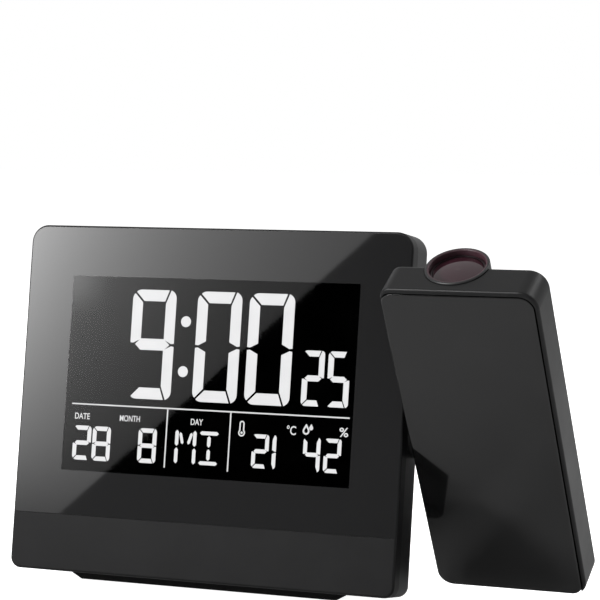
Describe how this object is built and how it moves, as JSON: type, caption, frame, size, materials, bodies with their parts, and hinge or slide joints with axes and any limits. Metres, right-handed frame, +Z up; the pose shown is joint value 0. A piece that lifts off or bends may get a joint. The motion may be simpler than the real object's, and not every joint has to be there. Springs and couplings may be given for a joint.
{
  "type": "projection alarm clock",
  "caption": "Desk clock with a leaning display slab on a low foot and a flat projector arm hinged to its side.",
  "frame": {"origin": "centre of the foot's underside, on the plane that it stands on", "axes": "+X to the clock's right as its display is read, towards the projector arm; +Y backwards; +Z up"},
  "size_m": [0.211, 0.0758, 0.1314],
  "materials": {
    "case_black": "fine moulded texture",
    "window_black": "polished acrylic, black print behind",
    "display_black": "polished",
    "white_plastic": "moulded",
    "clear_acrylic": "polished",
    "white_sheet": "satin",
    "board_white": "solder mask",
    "contact_rubber": "moulded",
    "board_green": "solder mask",
    "screw_steel": "zinc plated",
    "screw_black": "blackened",
    "chip_black": "moulded",
    "can_metal": "drawn can",
    "button_black": "fine moulded texture",
    "cell_wrap": "printed wrap, plain",
    "contact_nickel": "nickel plated",
    "ferrite": "sintered",
    "coil_copper": "enamelled winding",
    "pad_rubber": "moulded",
    "bush_black": "acetal",
    "bush_white": "acetal",
    "cable_black": "jacket",
    "ring_black": "satin",
    "tube_black": "blackened inside",
    "lens_glass": "polished, coated",
    "led_clear": "clear resin"
  },
  "bodies": {
    "clock": {"front_frame": "case_black", "display_window": "window_black", "lcd_cell": "display_black", "lcd_holder": "white_plastic", "light_guide": "clear_acrylic", "reflector_sheet": "white_sheet", "led_strip": "board_white", "contact_strips": "contact_rubber", "main_board": "board_green", "board_screws": "screw_steel", "processor": "chip_black", "radio_module": "board_green", "quartz_crystal": "can_metal", "cable_plug": "white_plastic", "button_switches": "chip_black", "snooze_board": "board_green", "snooze_switch": "chip_black", "rear_cover": "case_black", "case_screws": "screw_black", "batteries": "cell_wrap", "battery_plates": "contact_nickel", "battery_springs": "contact_nickel", "dc_jack": "chip_black", "buzzer": "chip_black", "antenna_rod": "ferrite", "antenna_coil": "coil_copper", "climate_sensor": "board_green", "base_foot": "case_black", "foot_pads": "pad_rubber", "foot_screws": "screw_black", "hinge_bush": "bush_black", "hinge_spring": "screw_steel", "hinge_washer": "bush_white", "body_cable": "cable_black"},
    "projector_arm": {"arm_shell": "case_black", "arm_panel": "case_black", "arm_screws": "screw_black", "lens_tube": "tube_black", "condenser_lens": "lens_glass", "projection_lcd": "display_black", "led_board": "board_white", "projector_led": "led_clear", "arm_cable": "cable_black", "hinge_shaft": "case_black", "hinge_clip": "screw_steel", "hub_screws": "screw_steel"},
    "focus_control": {"focus_ring": "ring_black"},
    "focus_optics": {"lens_carrier": "tube_black", "focus_lens": "lens_glass"},
    "door": {"battery_door": "case_black"},
    "snooze": {"snooze_bar": "button_black"},
    "alarm_key": {"alarm_button": "button_black"},
    "set_key": {"set_button": "button_black"},
    "minus_key": {"minus_button": "button_black"},
    "plus_key": {"plus_button": "button_black"},
    "light_key": {"light_button": "button_black"},
    "projector_key": {"projector_button": "button_black"}
  },
  "joints": [
    {"name": "arm_tilt", "type": "hinge", "parent": "clock", "child": "projector_arm", "pos_m": [0.078, -0.00576, 0.06053], "axis": [1, 0, 0], "range_deg": [-120, 60]},
    {"name": "focus_turn", "type": "hinge", "parent": "projector_arm", "child": "focus_control", "pos_m": [0.1028, -0.0389, 0.12176], "axis": [0, -0.4955, 0.8686], "range_deg": [-60, 60]},
    {"name": "lens_slide", "type": "slide", "parent": "projector_arm", "child": "focus_optics", "axis": [0, -0.4955, 0.8686], "range_m": [-0.001, 0.001]},
    {"name": "door_swing", "type": "hinge", "parent": "clock", "child": "door", "pos_m": [-0.02325, 0.01087, 0.03004], "axis": [-1, 0, 0], "range_deg": [0, 88]},
    {"name": "snooze_press", "type": "slide", "parent": "clock", "child": "snooze", "axis": [0, -0.1547, -0.988], "range_m": [0, 0.0008], "stiffness_N_per_m": 2500, "springref_m": -0.0003},
    {"name": "alarm_press", "type": "slide", "parent": "clock", "child": "alarm_key", "axis": [0, -0.988, 0.1547], "range_m": [0, 0.0005], "stiffness_N_per_m": 2500, "springref_m": -0.0003},
    {"name": "set_press", "type": "slide", "parent": "clock", "child": "set_key", "axis": [0, -0.988, 0.1547], "range_m": [0, 0.0005], "stiffness_N_per_m": 2500, "springref_m": -0.0003},
    {"name": "minus_press", "type": "slide", "parent": "clock", "child": "minus_key", "axis": [0, -0.988, 0.1547], "range_m": [0, 0.0005], "stiffness_N_per_m": 2500, "springref_m": -0.0003},
    {"name": "plus_press", "type": "slide", "parent": "clock", "child": "plus_key", "axis": [0, -0.988, 0.1547], "range_m": [0, 0.0005], "stiffness_N_per_m": 2500, "springref_m": -0.0003},
    {"name": "light_press", "type": "slide", "parent": "clock", "child": "light_key", "axis": [0, -0.988, 0.1547], "range_m": [0, 0.0005], "stiffness_N_per_m": 2500, "springref_m": -0.0003},
    {"name": "projector_press", "type": "slide", "parent": "clock", "child": "projector_key", "axis": [0, -0.988, 0.1547], "range_m": [0, 0.0005], "stiffness_N_per_m": 2500, "springref_m": -0.0003}
  ],
  "couplings": [
    {"joint": "focus_turn", "follows": "lens_slide", "rad_per_m": 1047}
  ]
}
